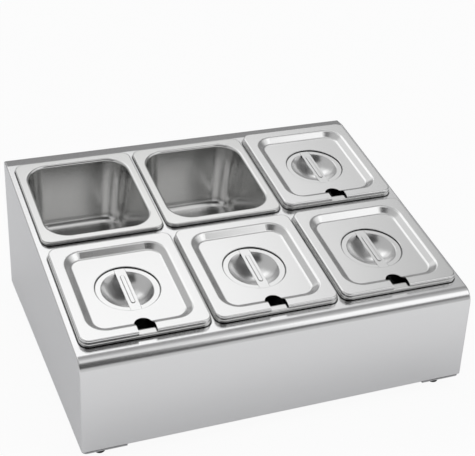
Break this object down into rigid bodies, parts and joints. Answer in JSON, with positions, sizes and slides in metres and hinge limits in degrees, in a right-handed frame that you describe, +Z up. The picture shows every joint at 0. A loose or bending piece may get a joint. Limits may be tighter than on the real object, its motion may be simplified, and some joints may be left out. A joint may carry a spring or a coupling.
{
  "type": "buffet condiment dispenser",
  "caption": "Wedge-shaped steel counter unit that holds lift-out condiment pans in a sloping deck, under lift-off lids with spoon notches and recessed grips.",
  "frame": {"origin": "on the table, under the middle of the box around the whole, with the two lids that lean behind it", "axes": "+X to the right of a person at the low front, +Y to the tall back, +Z up"},
  "size_m": [0.512, 0.4584, 0.2199],
  "materials": {
    "housing_steel": "satin brushed",
    "frame_steel": "mill finish",
    "fastener_steel": "zinc plated",
    "foot_rubber": "matte black",
    "pan_steel": "polished",
    "lid_steel": "bright polished",
    "bar_steel": "bright polished"
  },
  "bodies": {
    "housing": {"wrap_panel": "housing_steel", "left_side_panel": "housing_steel", "right_side_panel": "housing_steel", "rear_panel": "housing_steel", "cross_rail": "frame_steel", "foot_plate_front_left": "frame_steel", "foot_plate_front_right": "frame_steel", "foot_plate_rear_right": "frame_steel", "foot_plate_rear_left": "frame_steel", "foot_front_left": "foot_rubber", "foot_front_right": "foot_rubber", "foot_rear_right": "foot_rubber", "foot_rear_left": "foot_rubber", "foot_screws": "fastener_steel", "foot_nuts": "fastener_steel"},
    "pan_front_left": {"pan_front_left": "pan_steel"},
    "lid_front_left": {"lid_front_left": "lid_steel", "lid_handle_front_left": "bar_steel"},
    "pan_front_middle": {"pan_front_middle": "pan_steel"},
    "lid_front_middle": {"lid_front_middle": "lid_steel", "lid_handle_front_middle": "bar_steel"},
    "pan_front_right": {"pan_front_right": "pan_steel"},
    "lid_front_right": {"lid_front_right": "lid_steel", "lid_handle_front_right": "bar_steel"},
    "pan_rear_left": {"pan_rear_left": "pan_steel"},
    "lid_rear_left": {"lid_rear_left": "lid_steel", "lid_handle_rear_left": "bar_steel"},
    "pan_rear_middle": {"pan_rear_middle": "pan_steel"},
    "lid_rear_middle": {"lid_rear_middle": "lid_steel", "lid_handle_rear_middle": "bar_steel"},
    "pan_rear_right": {"pan_rear_right": "pan_steel"},
    "lid_rear_right": {"lid_rear_right": "lid_steel", "lid_handle_rear_right": "bar_steel"}
  },
  "joints": [
    {"name": "pan_front_left_lift", "type": "slide", "parent": "housing", "child": "pan_front_left", "axis": [0, -0.1702, 0.9854], "range_m": [0, 0.13]},
    {"name": "pan_front_middle_lift", "type": "slide", "parent": "housing", "child": "pan_front_middle", "axis": [0, -0.1702, 0.9854], "range_m": [0, 0.13]},
    {"name": "pan_front_right_lift", "type": "slide", "parent": "housing", "child": "pan_front_right", "axis": [0, -0.1702, 0.9854], "range_m": [0, 0.13]},
    {"name": "pan_rear_left_lift", "type": "slide", "parent": "housing", "child": "pan_rear_left", "axis": [0, -0.1702, 0.9854], "range_m": [0, 0.13]},
    {"name": "pan_rear_middle_lift", "type": "slide", "parent": "housing", "child": "pan_rear_middle", "axis": [0, -0.1702, 0.9854], "range_m": [0, 0.13]},
    {"name": "pan_rear_right_lift", "type": "slide", "parent": "housing", "child": "pan_rear_right", "axis": [0, -0.1702, 0.9854], "range_m": [0, 0.13]},
    {"name": "lid_front_left_lift", "type": "slide", "parent": "pan_front_left", "child": "lid_front_left", "axis": [0, -0.1702, 0.9854], "range_m": [0, 0.06]},
    {"name": "lid_front_middle_lift", "type": "slide", "parent": "pan_front_middle", "child": "lid_front_middle", "axis": [0, -0.1702, 0.9854], "range_m": [0, 0.06]},
    {"name": "lid_front_right_lift", "type": "slide", "parent": "pan_front_right", "child": "lid_front_right", "axis": [0, -0.1702, 0.9854], "range_m": [0, 0.06]},
    {"name": "lid_rear_left_lift", "type": "slide", "parent": "housing", "child": "lid_rear_left", "axis": [0, 0, 1], "range_m": [0, 0.2]},
    {"name": "lid_rear_middle_lift", "type": "slide", "parent": "housing", "child": "lid_rear_middle", "axis": [0, 0, 1], "range_m": [0, 0.2]},
    {"name": "lid_rear_right_lift", "type": "slide", "parent": "pan_rear_right", "child": "lid_rear_right", "axis": [0, -0.1702, 0.9854], "range_m": [0, 0.06]}
  ]
}
